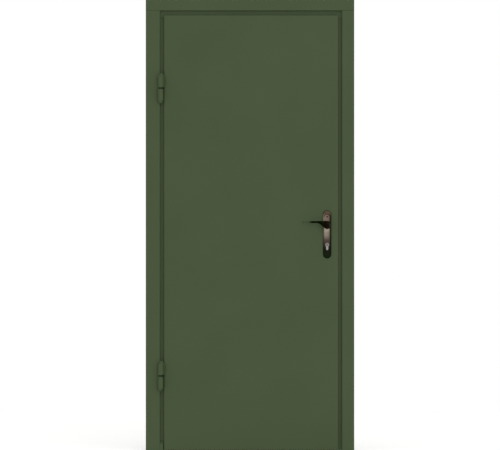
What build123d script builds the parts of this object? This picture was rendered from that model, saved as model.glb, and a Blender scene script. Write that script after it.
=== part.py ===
from build123d import *
import os

# Steel front door block: a bent-sheet frame with a casing, and one leaf on two weld-on barrel hinges.
# Millimetres. X runs to the lock side, Y into the wall, Z up.
# The origin is in the middle of the sill's underside.

os.makedirs("parts", exist_ok=True)

# Door block
block_width = 970.0
block_height = 2100.0

# Frame section, bent from one sheet
frame_depth = 70.0
frame_sheet = 2.0
frame_bend = 3.0
casing_lip = 15.0
groove_depth = 16.0
hinge_flange = 66.0
lock_flange = 57.0
head_flange = 52.0
rear_return = 22.0

# Groove that shows between the casing and the leaf
hinge_groove = 19.0
lock_groove = 18.0
head_groove = 22.0
groove_foot_height = 31.0

# Sill
sill_height = 22.0
sill_sheet = 2.0
sill_bend = 3.0

# Leaf
leaf_thickness = 52.0
leaf_sheet = 2.0
leaf_rim = 7.0
leaf_bend = 2.5
lip_overlap = 17.0
body_gap = 8.0
weld_flange = 12.0
floor_gap = 4.0
inner_sheet = 1.5
inner_bend = 2.4
swing_gap = 5.0

# Stiffeners inside the leaf
rib_width = 30.0
rib_sheet = 1.5
rib_count = 2
filling_gap = 0.5

# Seals
seal_width = 9.0
seal_height = 3.5

# Anchor holes in the reveals
anchor_hole = 12.0
anchor_count = 4
anchor_foot = 170.0
anchor_head_drop = 159.0
anchor_back = 18.0

# Hinges
hinge_diameter = 25.0
hinge_length = 137.0
hinge_setback = 4.0
top_hinge_drop = 340.0
bottom_hinge_height = 348.0
pin_diameter = 14.0
pin_clearance = 0.3
pin_seat = 0.05
pin_reach = 50.0
pin_chamfer = 1.0
washer_height = 8.0
washer_diameter = 18.0
knuckle_chamfer = 1.0
crown_diameter = 15.0
crown_slope = 16.0
crown_shift = 4.0
crown_swell = 4.0
weld_inset = 1.0
weld_land = 5.0

# Lock
lock_line = 29.0
lever_height = 1050.0
lock_backset = 26.0
cylinder_drop = 92.0
faceplate_width = 22.0
faceplate_length = 235.0
faceplate_sheet = 3.0
faceplate_drop = 36.0
case_depth = 42.0
case_length = 180.0
case_thickness = 15.0
latch_rise = 10.0
latch_height = 30.0
latch_thickness = 14.0
latch_length = 14.0
bolt_drop = 52.0
bolt_height = 34.0
bolt_thickness = 14.0
bolt_length = 22.0
bolt_fit = 0.25
strike_width = 22.0
strike_length = 180.0
strike_sheet = 2.0
strike_play = 2.0
jamb_slot_play = 1.0

# Cylinder
cylinder_diameter = 17.0
cylinder_web = 10.0
cylinder_height = 33.0
cylinder_proud = 2.0
keyway_width = 1.6
keyway_height = 8.0
keyway_depth = 12.0
cylinder_fit = 0.5

# Backplates
plate_width = 38.5
plate_length = 223.0
plate_thickness = 7.0
plate_round = 4.5
plate_drop = 43.5
field_inset = 5.5
field_height = 1.5
field_round = 1.0
boss_diameter = 26.0
boss_height = 4.0
boss_round = 1.0

# Levers
spindle_width = 8.0
spindle_fit = 0.1
spindle_hole = 14.0
socket_depth = 22.0
neck_diameter = 20.0
neck_clearance = 0.3
hub_diameter = 37.0
hub_gap = 15.0
hub_flare = 9.0
hub_dome = 11.0
arm_reach = 119.0
arm_sweep = 0.4
arm_height = 9.5
arm_tip_height = 5.0
arm_root_thickness = 17.0
arm_thickness = 11.0
arm_tip_thickness = 7.0
arm_return = 7.0
tip_length_share = 0.06
arm_shares = [0.0, 0.1, 0.2, 0.3, 0.45, 0.7, 0.94, 0.975, 0.993]

# Places worked out from the sizes above
rebate_y = -frame_depth / 2
rear_y = frame_depth / 2
casing_y = rebate_y - groove_depth
wall_y = casing_y + casing_lip
hinge_outer_x = -block_width / 2
lock_outer_x = block_width / 2
hinge_flange_x = hinge_outer_x + hinge_flange
lock_flange_x = lock_outer_x - lock_flange
head_flange_z = block_height - head_flange
leaf_hinge_x = hinge_flange_x + hinge_groove
leaf_lock_x = lock_flange_x - lock_groove
leaf_top_z = head_flange_z - head_groove
reveal_hinge_x = leaf_hinge_x + lip_overlap
reveal_lock_x = leaf_lock_x - lip_overlap
reveal_top_z = leaf_top_z - lip_overlap
body_hinge_x = reveal_hinge_x + body_gap
body_lock_x = reveal_lock_x - body_gap
body_top_z = reveal_top_z - body_gap
body_bottom_z = sill_height + body_gap
rim_back_y = casing_y + leaf_rim
leaf_back_y = casing_y + leaf_thickness
hinge_x = hinge_flange_x + hinge_setback
hinge_y = casing_y - hinge_diameter / 2 - swing_gap
top_hinge_z = leaf_top_z - top_hinge_drop
lock_y = casing_y + lock_line
handle_x = body_lock_x - lock_backset
handle_z = lever_height
cylinder_z = handle_z - cylinder_drop
plate_z = handle_z - plate_drop
plate_stack = plate_thickness + field_height + boss_height
faceplate_z = handle_z - faceplate_drop
latch_z = handle_z + latch_rise
bolt_z = handle_z - bolt_drop
seal_offset = lip_overlap / 2
anchor_top_z = reveal_top_z - anchor_head_drop
anchor_spacing = (anchor_top_z - anchor_foot) / (anchor_count - 1)


def finish_piece(part, label):
    """Names one finished piece and writes its file."""
    part.label = label
    export_step(part, f"parts/{label}.step")


def facing_plane(y):
    """An upright plane at depth y that faces the room in front, with X across and Z up."""
    return Plane.XZ.offset(-y)


def rectangle_between(low_x, low_z, high_x, high_z, mode=Mode.ADD):
    """A rectangle given by two opposite corners."""
    with Locations(((low_x + high_x) / 2, (low_z + high_z) / 2)):
        Rectangle(high_x - low_x, high_z - low_z, mode=mode)


def box_between(low, high, mode=Mode.ADD):
    """A box given by its lowest and highest corners."""
    middle = [(a + b) / 2 for a, b in zip(low, high)]
    size = [b - a for a, b in zip(low, high)]
    with Locations(tuple(middle)):
        Box(*size, mode=mode)


# Frame jambs: lip on the wall, casing flange, step into the groove, rebate, reveal and rear return
def make_jamb(outer_x, flange_x, reveal_x, inward, side):
    corners = [
        (outer_x, wall_y),
        (outer_x, casing_y),
        (flange_x, casing_y),
        (flange_x, rebate_y),
        (reveal_x, rebate_y),
        (reveal_x, rear_y),
        (reveal_x - inward * rear_return, rear_y),
    ]
    anchor_y = rear_y - anchor_back
    with BuildPart() as jamb:
        with BuildSketch(Plane.XY):
            with BuildLine():
                FilletPolyline(*corners, radius=frame_bend)
                offset(amount=frame_sheet, side=side)
            make_face()
        extrude(amount=head_flange_z)
        # The head's rebate crosses the jamb's above the opening
        notch = sorted([flange_x, reveal_x + inward * frame_sheet])
        box_between(
            (notch[0], casing_y, reveal_top_z),
            (notch[1], rear_y, head_flange_z),
            mode=Mode.SUBTRACT,
        )
        returned = sorted([flange_x, reveal_x - inward * (rear_return + frame_sheet)])
        box_between(
            (returned[0], rebate_y, reveal_top_z),
            (returned[1], rear_y, head_flange_z),
            mode=Mode.SUBTRACT,
        )
        with BuildSketch(Plane.YZ.offset(reveal_x)):
            with Locations((anchor_y, (anchor_foot + anchor_top_z) / 2)):
                with GridLocations(0, anchor_spacing, 1, anchor_count):
                    Circle(anchor_hole / 2)
        extrude(amount=frame_sheet, both=True, mode=Mode.SUBTRACT)
        if inward < 0:
            with BuildSketch(Plane.YZ.offset(reveal_x)):
                latch_outline(strike_play + jamb_slot_play)
                bolt_outline(strike_play + jamb_slot_play)
            extrude(amount=frame_sheet, both=True, mode=Mode.SUBTRACT)
    return jamb


def latch_outline(play, mode=Mode.ADD):
    """The latch seen from its end, with this much play all round."""
    with Locations((lock_y, latch_z)):
        Rectangle(latch_thickness + 2 * play, latch_height + 2 * play, mode=mode)


def bolt_outline(play, mode=Mode.ADD):
    """The bolt seen from its end, with this much play all round."""
    with Locations((lock_y, bolt_z)):
        Rectangle(bolt_thickness + 2 * play, bolt_height + 2 * play, mode=mode)


hinge_jamb = make_jamb(hinge_outer_x, hinge_flange_x, reveal_hinge_x, 1, Side.LEFT)
finish_piece(hinge_jamb.part, "frame_hinge_jamb")
lock_jamb = make_jamb(lock_outer_x, lock_flange_x, reveal_lock_x, -1, Side.RIGHT)
finish_piece(lock_jamb.part, "frame_lock_jamb")


# Frame head: the same bends turned over the opening, with the casing running over both jambs
with BuildPart() as head:
    with BuildSketch(Plane.YZ.offset(hinge_outer_x)):
        with BuildLine():
            FilletPolyline(
                (wall_y, block_height),
                (casing_y, block_height),
                (casing_y, head_flange_z),
                (rebate_y, head_flange_z),
                (rebate_y, reveal_top_z),
                (rear_y, reveal_top_z),
                (rear_y, reveal_top_z + rear_return),
                radius=frame_bend,
            )
            offset(amount=frame_sheet, side=Side.LEFT)
        make_face()
    extrude(amount=block_width)
    box_between(
        (hinge_outer_x, casing_y, reveal_top_z),
        (hinge_flange_x, rear_y, head_flange_z),
        mode=Mode.SUBTRACT,
    )
    box_between(
        (lock_flange_x, casing_y, reveal_top_z),
        (lock_outer_x, rear_y, head_flange_z),
        mode=Mode.SUBTRACT,
    )
    # Side lips close the ends of the casing down to the jambs
    box_between(
        (hinge_outer_x, casing_y + frame_sheet, head_flange_z),
        (hinge_outer_x + frame_sheet, wall_y, block_height - frame_sheet),
    )
    box_between(
        (lock_outer_x - frame_sheet, casing_y + frame_sheet, head_flange_z),
        (lock_outer_x, wall_y, block_height - frame_sheet),
    )
finish_piece(head.part, "frame_head")


# Sill: a flat tube between the jambs
with BuildPart() as sill:
    with BuildSketch(Plane.YZ.offset(reveal_hinge_x)):
        with Locations((0, sill_height / 2)):
            RectangleRounded(frame_depth, sill_height, sill_bend)
            RectangleRounded(
                frame_depth - 2 * sill_sheet,
                sill_height - 2 * sill_sheet,
                sill_bend - sill_sheet,
                mode=Mode.SUBTRACT,
            )
    extrude(amount=reveal_lock_x - reveal_hinge_x)
finish_piece(sill.part, "threshold")


# Closer: fills the foot of the groove on the hinge side, flush with the casing, under a sloped top
with BuildPart() as closer:
    with BuildSketch(Plane.YZ.offset(hinge_flange_x)):
        with BuildLine():
            Polyline(
                (casing_y, 0),
                (rebate_y, 0),
                (rebate_y, groove_foot_height + groove_depth),
                (casing_y, groove_foot_height),
                close=True,
            )
        make_face()
    extrude(amount=hinge_groove - swing_gap)
    back_corner = closer.edges().filter_by(Axis.Z).group_by(Axis.Y)[-1].sort_by(Axis.X)[0]
    chamfer(back_corner, length=frame_bend)
finish_piece(closer.part, "groove_foot_closer")


# Seals: a bulb strip all round the rebate, where the leaf's lip covers it
seal_hinge_x = reveal_hinge_x - seal_offset
seal_lock_x = reveal_lock_x + seal_offset
seal_top_z = reveal_top_z + seal_offset
seal_bottom_z = sill_height - seal_offset


def make_upright_seal(middle_x):
    with BuildPart() as seal:
        with BuildSketch(Plane.XY.offset(seal_bottom_z + seal_width / 2)):
            with BuildLine():
                Line((middle_x - seal_width / 2, rebate_y), (middle_x + seal_width / 2, rebate_y))
                ThreePointArc(
                    (middle_x - seal_width / 2, rebate_y),
                    (middle_x, rebate_y - seal_height),
                    (middle_x + seal_width / 2, rebate_y),
                )
            make_face()
        extrude(amount=seal_top_z - seal_bottom_z - seal_width)
    return seal


def make_level_seal(middle_z):
    with BuildPart() as seal:
        with BuildSketch(Plane.YZ.offset(seal_hinge_x - seal_width / 2)):
            with BuildLine():
                Line((rebate_y, middle_z - seal_width / 2), (rebate_y, middle_z + seal_width / 2))
                ThreePointArc(
                    (rebate_y, middle_z - seal_width / 2),
                    (rebate_y - seal_height, middle_z),
                    (rebate_y, middle_z + seal_width / 2),
                )
            make_face()
        extrude(amount=seal_lock_x - seal_hinge_x + seal_width)
    return seal


finish_piece(make_upright_seal(seal_hinge_x).part, "hinge_side_seal")
finish_piece(make_upright_seal(seal_lock_x).part, "lock_side_seal")
finish_piece(make_level_seal(seal_top_z).part, "head_seal")
finish_piece(make_level_seal(seal_bottom_z).part, "threshold_seal")


# Strike plate on the lock side reveal
with BuildPart() as strike:
    with BuildSketch(Plane.YZ.offset(reveal_lock_x - strike_sheet)):
        with Locations((lock_y, (latch_z + bolt_z) / 2)):
            SlotOverall(strike_length, strike_width, rotation=90)
        latch_outline(strike_play, mode=Mode.SUBTRACT)
        bolt_outline(strike_play, mode=Mode.SUBTRACT)
    extrude(amount=strike_sheet)
finish_piece(strike.part, "strike_plate")


# Hinges: teardrop barrels welded by their tails, the lower to the casing and the upper to the leaf
knuckle_length = (hinge_length - washer_height - pin_clearance) / 2
frame_weld = [
    Vector(hinge_flange_x - weld_inset - weld_land, casing_y),
    Vector(hinge_flange_x - weld_inset, casing_y),
]
leaf_weld = [
    Vector(leaf_hinge_x + weld_inset, casing_y),
    Vector(leaf_hinge_x + weld_inset + weld_land, casing_y),
]


def make_knuckle(joint_z, up, weld, bore, bore_depth):
    """One knuckle, running up or down (1 or -1) from the joint, where its bore opens, to its crown."""
    hinge_point = Vector(hinge_x, hinge_y)
    tail_way = ((weld[0] + weld[1]) / 2 - hinge_point).normalized()
    crown_point = hinge_point + tail_way * crown_shift
    reach = hinge_diameter + crown_shift
    with BuildPart() as knuckle:
        with BuildSketch(Plane.XY.offset(joint_z)):
            with BuildLine():
                CenterArc(hinge_point, hinge_diameter / 2, -90, 360)
                Line(*weld)
            make_hull()
        extrude(amount=up * knuckle_length)
        # The crown slopes away from the welded side like a drop
        crown_plane = Plane(
            origin=(crown_point.X, crown_point.Y, joint_z), x_dir=(1, 0, 0), z_dir=(0, -1, 0)
        )
        with BuildSketch(crown_plane):
            with BuildLine():
                Polyline(
                    (crown_diameter / 2, up * knuckle_length),
                    (0, up * knuckle_length),
                    (0, 0),
                    (reach, 0),
                    (reach, up * (knuckle_length - crown_slope)),
                )
                SagittaArc(
                    (reach, up * (knuckle_length - crown_slope)),
                    (crown_diameter / 2, up * knuckle_length),
                    up * crown_swell,
                )
            make_face()
        revolve(axis=Axis((crown_point.X, crown_point.Y, 0), (0, 0, 1)), mode=Mode.INTERSECT)
        # A bevel round the joint, carried out over the tail as a shallow step
        joint_plane = Plane(
            origin=(hinge_point.X, hinge_point.Y, joint_z), x_dir=(1, 0, 0), z_dir=(0, -1, 0)
        )
        with BuildSketch(joint_plane):
            with BuildLine():
                Polyline(
                    (hinge_diameter / 2 - knuckle_chamfer, 0),
                    (hinge_diameter / 2, up * knuckle_chamfer),
                    (reach, up * knuckle_chamfer),
                    (reach, 0),
                    close=True,
                )
            make_face()
        revolve(axis=Axis((hinge_point.X, hinge_point.Y, 0), (0, 0, 1)), mode=Mode.SUBTRACT)
        with BuildSketch(Plane.XY.offset(joint_z)):
            with Locations(hinge_point):
                Circle(bore / 2)
        extrude(amount=up * bore_depth, mode=Mode.SUBTRACT)
    return knuckle


def make_hinge(middle_z, place):
    frame_joint_z = middle_z - hinge_length / 2 + knuckle_length
    leaf_joint_z = middle_z + hinge_length / 2 - knuckle_length
    seat_bore = pin_diameter + 2 * pin_seat
    running_bore = pin_diameter + 2 * pin_clearance
    frame_knuckle = make_knuckle(frame_joint_z, -1, frame_weld, seat_bore, pin_reach)
    finish_piece(frame_knuckle.part, f"{place}_hinge_frame_knuckle")
    leaf_knuckle = make_knuckle(leaf_joint_z, 1, leaf_weld, running_bore, pin_reach + pin_clearance)
    finish_piece(leaf_knuckle.part, f"{place}_hinge_leaf_knuckle")
    with BuildPart() as pin:
        with BuildSketch(Plane.XY.offset(frame_joint_z - pin_reach)):
            with Locations((hinge_x, hinge_y)):
                Circle(pin_diameter / 2)
        extrude(amount=2 * pin_reach + washer_height)
        chamfer(pin.edges().sort_by(Axis.Z)[-1], length=pin_chamfer)
    finish_piece(pin.part, f"{place}_hinge_pin")
    with BuildPart() as washer:
        with BuildSketch(Plane.XY.offset(frame_joint_z)):
            with Locations((hinge_x, hinge_y)):
                Circle(washer_diameter / 2)
                Circle(seat_bore / 2, mode=Mode.SUBTRACT)
        extrude(amount=washer_height)
    finish_piece(washer.part, f"{place}_hinge_washer")


make_hinge(top_hinge_z, "top")
make_hinge(bottom_hinge_height, "bottom")


def cylinder_outline(extra, mode=Mode.ADD):
    """Profile of the lock cylinder: a round with a web below it."""
    radius = cylinder_diameter / 2 + extra
    web = cylinder_web / 2 + extra
    foot_z = cylinder_z + cylinder_diameter / 2 - cylinder_height + cylinder_web / 2
    with Locations((handle_x, cylinder_z)):
        Circle(radius, mode=mode)
    rectangle_between(handle_x - web, foot_z, handle_x + web, cylinder_z, mode=mode)
    with Locations((handle_x, foot_z)):
        Circle(web, mode=mode)


def lock_holes(mode=Mode.ADD):
    """Holes that the spindle and the cylinder pass through in the leaf's sheets."""
    with Locations((handle_x, handle_z)):
        Circle(spindle_hole / 2, mode=mode)
    cylinder_outline(cylinder_fit, mode=mode)


# Outer sheet of the leaf, folded round its edge into a flat rim
with BuildPart() as outer_sheet:
    with BuildSketch(facing_plane(rim_back_y)):
        rectangle_between(leaf_hinge_x, floor_gap, leaf_lock_x, leaf_top_z)
    extrude(amount=leaf_rim)
    front_edges = outer_sheet.faces().sort_by(Axis.Y)[0].edges()
    fillet(front_edges, radius=leaf_bend)
    with BuildSketch(facing_plane(rim_back_y - leaf_sheet)):
        rectangle_between(
            leaf_hinge_x + leaf_sheet,
            floor_gap + leaf_sheet,
            leaf_lock_x - leaf_sheet,
            leaf_top_z - leaf_sheet,
        )
    extrude(amount=leaf_rim - 2 * leaf_sheet, mode=Mode.SUBTRACT)
    with BuildSketch(facing_plane(rim_back_y)):
        rectangle_between(
            body_hinge_x + weld_flange,
            body_bottom_z + weld_flange,
            body_lock_x - weld_flange,
            body_top_z - weld_flange,
        )
    extrude(amount=leaf_sheet, mode=Mode.SUBTRACT)
    with BuildSketch(facing_plane(casing_y + leaf_sheet)):
        lock_holes()
    extrude(amount=leaf_sheet, mode=Mode.SUBTRACT)
finish_piece(outer_sheet.part, "leaf_outer_sheet")


# Inner tray of the leaf, welded to the rim, with a cut-out for the faceplate in its lock edge
with BuildPart() as inner_tray:
    with BuildSketch(facing_plane(leaf_back_y)):
        rectangle_between(body_hinge_x, body_bottom_z, body_lock_x, body_top_z)
    extrude(amount=leaf_back_y - rim_back_y)
    back_edges = inner_tray.faces().sort_by(Axis.Y)[-1].edges()
    fillet(back_edges, radius=inner_bend)
    with BuildSketch(facing_plane(leaf_back_y - inner_sheet)):
        rectangle_between(
            body_hinge_x + inner_sheet,
            body_bottom_z + inner_sheet,
            body_lock_x - inner_sheet,
            body_top_z - inner_sheet,
        )
    extrude(amount=leaf_back_y - rim_back_y - inner_sheet, mode=Mode.SUBTRACT)
    with BuildSketch(facing_plane(leaf_back_y)):
        lock_holes()
    extrude(amount=inner_sheet, mode=Mode.SUBTRACT)
    with BuildSketch(Plane.YZ.offset(body_lock_x)):
        with Locations((lock_y, faceplate_z)):
            Rectangle(faceplate_width + 2 * bolt_fit, faceplate_length + 2 * bolt_fit)
    extrude(amount=-inner_sheet, mode=Mode.SUBTRACT)
finish_piece(inner_tray.part, "leaf_inner_tray")


# Stiffeners and filling between the two sheets
inside_hinge_x = body_hinge_x + inner_sheet
inside_lock_x = body_lock_x - inner_sheet
inside_low_z = body_bottom_z + inner_sheet
inside_high_z = body_top_z - inner_sheet
inside_front_y = rim_back_y
inside_back_y = leaf_back_y - inner_sheet
bay_width = (inside_lock_x - inside_hinge_x - rib_count * rib_width) / (rib_count + 1)
rib_starts = [inside_hinge_x + bay_width * (n + 1) + rib_width * n for n in range(rib_count)]

with BuildPart() as ribs:
    for start in rib_starts:
        with BuildSketch(Plane.XY.offset(inside_low_z)):
            with Locations((start + rib_width / 2, (inside_front_y + inside_back_y) / 2)):
                Rectangle(rib_width, inside_back_y - inside_front_y)
                with Locations((rib_sheet, 0)):
                    Rectangle(
                        rib_width,
                        inside_back_y - inside_front_y - 2 * rib_sheet,
                        mode=Mode.SUBTRACT,
                    )
        extrude(amount=inside_high_z - inside_low_z)
finish_piece(ribs.part, "leaf_ribs")

case_front_x = body_lock_x - faceplate_sheet
case_back_x = case_front_x - case_depth
case_low_z = faceplate_z - case_length / 2
case_high_z = faceplate_z + case_length / 2

with BuildPart() as filling:
    for n in range(rib_count + 1):
        start = inside_hinge_x + n * (bay_width + rib_width)
        box_between(
            (start + filling_gap, inside_front_y, inside_low_z),
            (start + bay_width - filling_gap, inside_back_y, inside_high_z),
        )
    box_between(
        (case_back_x - filling_gap, inside_front_y, faceplate_z - faceplate_length / 2 - filling_gap),
        (inside_lock_x, inside_back_y, faceplate_z + faceplate_length / 2 + filling_gap),
        mode=Mode.SUBTRACT,
    )
finish_piece(filling.part, "leaf_filling")


# Mortise lock: case, faceplate, and the latch and bolt drawn in
with BuildPart() as case:
    box_between(
        (case_back_x, lock_y - case_thickness / 2, case_low_z),
        (case_front_x, lock_y + case_thickness / 2, case_high_z),
    )
    with BuildSketch(facing_plane(lock_y + case_thickness / 2)):
        lock_holes()
    extrude(amount=case_thickness, mode=Mode.SUBTRACT)
    with BuildSketch(Plane.YZ.offset(case_front_x)):
        latch_outline(bolt_fit)
    extrude(amount=faceplate_sheet - latch_length, mode=Mode.SUBTRACT)
    with BuildSketch(Plane.YZ.offset(case_front_x)):
        bolt_outline(bolt_fit)
    extrude(amount=faceplate_sheet - bolt_length, mode=Mode.SUBTRACT)
finish_piece(case.part, "lock_case")

with BuildPart() as faceplate:
    with BuildSketch(Plane.YZ.offset(case_front_x)):
        with Locations((lock_y, faceplate_z)):
            Rectangle(faceplate_width, faceplate_length)
        latch_outline(bolt_fit, mode=Mode.SUBTRACT)
        bolt_outline(bolt_fit, mode=Mode.SUBTRACT)
    extrude(amount=faceplate_sheet)
finish_piece(faceplate.part, "lock_faceplate")

with BuildPart() as latch:
    with BuildSketch(Plane.YZ.offset(body_lock_x - latch_length)):
        latch_outline(0)
    extrude(amount=latch_length)
    chamfer(latch.edges().group_by(Axis.X)[-1].sort_by(Axis.Y)[0], length=latch_thickness / 2)
finish_piece(latch.part, "latch_bolt")

with BuildPart() as dead_bolt:
    with BuildSketch(Plane.YZ.offset(body_lock_x - bolt_length)):
        bolt_outline(0)
    extrude(amount=bolt_length)
finish_piece(dead_bolt.part, "dead_bolt")


# Backplates: a rounded plate with a raised field and a boss round the lever's neck, one on each face
def make_backplate(face_y, outward):
    """outward is 1 for the plate on the front and -1 for the one on the back."""
    field_y = face_y - outward * plate_thickness
    boss_y = field_y - outward * field_height
    outer_face = 0 if outward > 0 else -1
    with BuildPart() as plate:
        with BuildSketch(facing_plane(face_y)):
            with Locations((handle_x, plate_z)):
                SlotOverall(plate_length, plate_width, rotation=90)
        extrude(amount=outward * plate_thickness)
        fillet(plate.faces().sort_by(Axis.Y)[outer_face].edges(), radius=plate_round)
        with BuildSketch(facing_plane(field_y)):
            with Locations((handle_x, plate_z)):
                SlotOverall(plate_length - 2 * field_inset, plate_width - 2 * field_inset, rotation=90)
        extrude(amount=outward * field_height)
        fillet(plate.faces().sort_by(Axis.Y)[outer_face].edges(), radius=field_round)
        with BuildSketch(facing_plane(boss_y)):
            with Locations((handle_x, handle_z)):
                Circle(boss_diameter / 2)
        extrude(amount=outward * boss_height)
        fillet(plate.faces().sort_by(Axis.Y)[outer_face].edges(), radius=boss_round)
        with BuildSketch(facing_plane(face_y)):
            with Locations((handle_x, handle_z)):
                Circle(neck_diameter / 2 + neck_clearance)
            cylinder_outline(cylinder_fit)
        extrude(amount=outward * plate_stack, mode=Mode.SUBTRACT)
    return plate


finish_piece(make_backplate(casing_y, 1).part, "outside_backplate")
finish_piece(make_backplate(leaf_back_y, -1).part, "inside_backplate")


# Lock cylinder through the leaf, with a keyway at each end
with BuildPart() as cylinder:
    cylinder_back_y = leaf_back_y + plate_thickness + field_height + cylinder_proud
    cylinder_front_y = casing_y - plate_thickness - field_height - cylinder_proud
    with BuildSketch(facing_plane(cylinder_back_y)):
        cylinder_outline(0)
    extrude(amount=cylinder_back_y - cylinder_front_y)
    for end_y, inward in ((cylinder_front_y, -1), (cylinder_back_y, 1)):
        with BuildSketch(facing_plane(end_y)):
            with Locations((handle_x, cylinder_z)):
                Rectangle(keyway_width, keyway_height)
        extrude(amount=inward * keyway_depth, mode=Mode.SUBTRACT)
finish_piece(cylinder.part, "lock_cylinder")


def smooth_step(share):
    """Runs from 0 to 1 with a level start and end."""
    return share * share * (3 - 2 * share)


# Levers: a neck that turns in the backplate, a flared hub, and an arm swept from it to the hinge side
def arm_section(share):
    """Height, thickness and rise over the hub's centre of the arm, at a share of its reach."""
    past_root = smooth_step(min(1.0, share / arm_sweep))
    past_sweep = max(0.0, share - arm_sweep) / (1 - arm_sweep)
    height = hub_diameter + (arm_height - hub_diameter) * past_root
    height += (arm_tip_height - arm_height) * past_sweep
    thickness = arm_root_thickness + (arm_thickness - arm_root_thickness) * past_root
    thickness += (arm_tip_thickness - arm_thickness) * past_sweep
    rise = (hub_diameter - max(height, arm_height)) / 2
    into_tip = max(0.0, share - 1 + tip_length_share) / tip_length_share
    rounding = (1 - into_tip**2) ** 0.5
    return height * rounding, thickness * rounding, rise


def make_lever(face_y, outward):
    """outward is 1 for the lever on the front and -1 for the one on the back."""
    neck_plane = Plane(origin=(handle_x, face_y, handle_z), x_dir=(1, 0, 0), z_dir=(0, 0, 1))
    neck_start = -outward * neck_clearance
    hub_start = -outward * (plate_stack + hub_gap)
    hub_rim = hub_start - outward * hub_flare
    hub_front = hub_rim - outward * hub_dome
    with BuildPart() as lever:
        with BuildSketch(neck_plane):
            with BuildLine():
                Polyline(
                    (0, hub_front),
                    (0, neck_start),
                    (neck_diameter / 2, neck_start),
                    (neck_diameter / 2, hub_start),
                )
                TangentArc(
                    (neck_diameter / 2, hub_start),
                    (hub_diameter / 2, hub_rim),
                    tangent=(0, -outward),
                )
                Spline(
                    (hub_diameter / 2, hub_rim),
                    (0, hub_front),
                    tangents=((0, -outward), (-1, 0)),
                )
            make_face()
        revolve(axis=Axis((handle_x, 0, handle_z), (0, 1, 0)))
        for share in arm_shares:
            height, thickness, rise = arm_section(share)
            arm_y = face_y + hub_rim + outward * arm_return * share**2
            with BuildSketch(Plane.YZ.offset(handle_x - arm_reach * share)):
                with Locations((arm_y, handle_z + rise)):
                    Ellipse(thickness / 2, height / 2)
        loft()
        with BuildSketch(facing_plane(face_y - outward * neck_clearance)):
            with Locations((handle_x, handle_z)):
                Rectangle(spindle_width + 2 * spindle_fit, spindle_width + 2 * spindle_fit)
        extrude(amount=outward * socket_depth, mode=Mode.SUBTRACT)
    return lever


finish_piece(make_lever(casing_y, 1).part, "outside_lever")
finish_piece(make_lever(leaf_back_y, -1).part, "inside_lever")

with BuildPart() as spindle:
    spindle_back_y = leaf_back_y + neck_clearance + socket_depth
    spindle_front_y = casing_y - neck_clearance - socket_depth
    with BuildSketch(facing_plane(spindle_back_y)):
        with Locations((handle_x, handle_z)):
            Rectangle(spindle_width, spindle_width)
    extrude(amount=spindle_back_y - spindle_front_y)
finish_piece(spindle.part, "spindle")
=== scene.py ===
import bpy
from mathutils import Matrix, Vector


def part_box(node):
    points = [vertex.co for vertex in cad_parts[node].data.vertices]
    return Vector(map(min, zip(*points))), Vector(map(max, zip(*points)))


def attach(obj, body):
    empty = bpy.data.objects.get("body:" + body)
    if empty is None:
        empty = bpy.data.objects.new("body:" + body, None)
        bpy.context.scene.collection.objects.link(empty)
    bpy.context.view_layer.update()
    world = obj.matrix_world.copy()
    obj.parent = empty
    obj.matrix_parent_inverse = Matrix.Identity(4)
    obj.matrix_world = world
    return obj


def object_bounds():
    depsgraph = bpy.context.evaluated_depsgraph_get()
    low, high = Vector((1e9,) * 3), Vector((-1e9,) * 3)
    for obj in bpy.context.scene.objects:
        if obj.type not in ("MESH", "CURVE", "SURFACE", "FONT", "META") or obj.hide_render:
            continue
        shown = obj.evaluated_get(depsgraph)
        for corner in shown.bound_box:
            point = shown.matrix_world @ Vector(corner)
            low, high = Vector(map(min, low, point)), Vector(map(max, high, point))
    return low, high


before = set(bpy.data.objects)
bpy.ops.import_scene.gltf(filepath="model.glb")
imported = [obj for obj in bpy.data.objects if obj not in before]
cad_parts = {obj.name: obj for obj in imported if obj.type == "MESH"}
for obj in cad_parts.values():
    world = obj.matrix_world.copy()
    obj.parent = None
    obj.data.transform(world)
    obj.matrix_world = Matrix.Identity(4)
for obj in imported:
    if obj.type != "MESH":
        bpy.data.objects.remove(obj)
cad_box = [list(corner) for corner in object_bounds()]

import math
import random

import bmesh
import bpy
from mathutils import Matrix, Vector


# Frame
# The casing, rebate and reveal of an outward-opening steel door block. Each side and the head is
# folded from one 2 mm sheet; the head runs over both sides and is welded to them, ground flush
# and painted.
def linear(code):
    """An sRGB hex code as a linear colour."""
    parts = [int(code[n : n + 2], 16) / 255 for n in (1, 3, 5)]
    return [c / 12.92 if c <= 0.04045 else ((c + 0.055) / 1.055) ** 2.4 for c in parts] + [1.0]


def add_node(tree, kind, inputs=None, **settings):
    """Adds one shader node. An input gets a value, or the socket that feeds it."""
    made = tree.nodes.new("ShaderNode" + kind)
    for name, value in settings.items():
        setattr(made, name, value)
    for name, value in (inputs or {}).items():
        if isinstance(value, bpy.types.NodeSocket):
            tree.links.new(value, made.inputs[name])
        else:
            made.inputs[name].default_value = value
    return made


def new_finish(name):
    """A new material, its node tree and its shader."""
    finish = bpy.data.materials.new(name)
    finish.use_nodes = True
    return finish, finish.node_tree, finish.node_tree.nodes["Principled BSDF"]


def dress(finish, *names):
    """Gives the frame's nodes with these names their finish."""
    for name in names:
        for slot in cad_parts[name].material_slots:
            slot.material = finish


# Polyester powder coat, baked on sheet steel: an even semi-matt moss green, a trace cloudy over a
# hand's width, with the fine dimples of orange peel and a soft sheen but no glint
moss_green = "#465537"
moss_cloud = "#445335"
cloud_width = 0.25
coat_roughness_low, coat_roughness_high = 0.52, 0.62
peel_pitch = 0.004
peel_depth = 0.00006

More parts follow.
